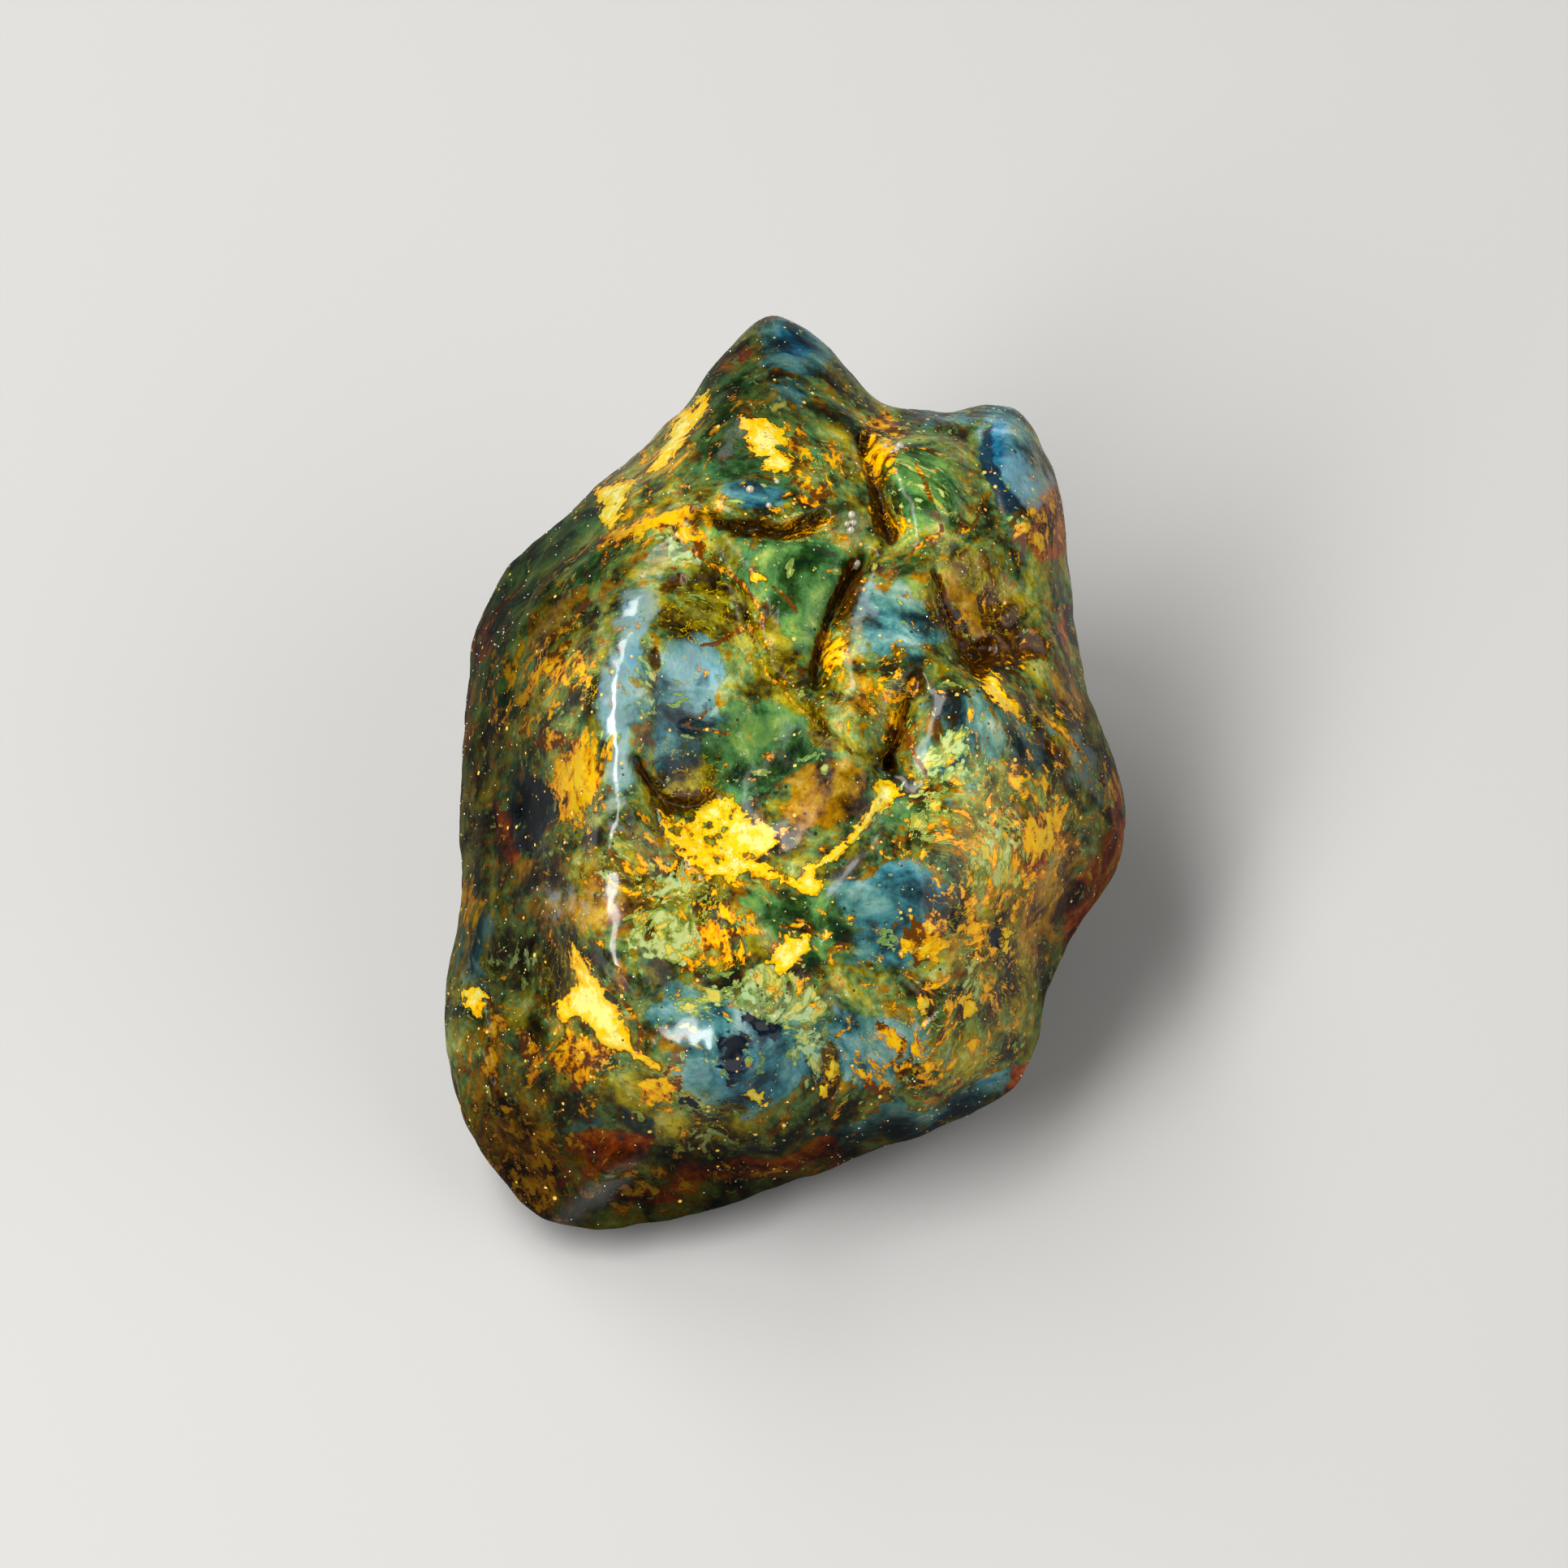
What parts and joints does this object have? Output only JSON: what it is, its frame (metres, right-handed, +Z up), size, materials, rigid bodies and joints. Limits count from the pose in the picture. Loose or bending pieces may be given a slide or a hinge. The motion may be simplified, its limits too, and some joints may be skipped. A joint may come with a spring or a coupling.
{
  "type": "raw amber lump",
  "caption": "Worn lump of raw amber with a pointed horn, a scooped hollow in its broad leaning face and a flat to lie on; green and blue resin with yellow and orange crust",
  "frame": {"origin": "centre of the lump's box, on the table plane under the worn flat", "axes": "+Z up; +Y runs from the low front edge to the horn at the far end; +X to the right, as the broad face is looked at"},
  "size_m": [0.042, 0.055, 0.0316],
  "materials": {
    "raw_amber": "polished"
  },
  "bodies": {
    "root": {"amber_lump": "raw_amber"}
  },
  "joints": []
}
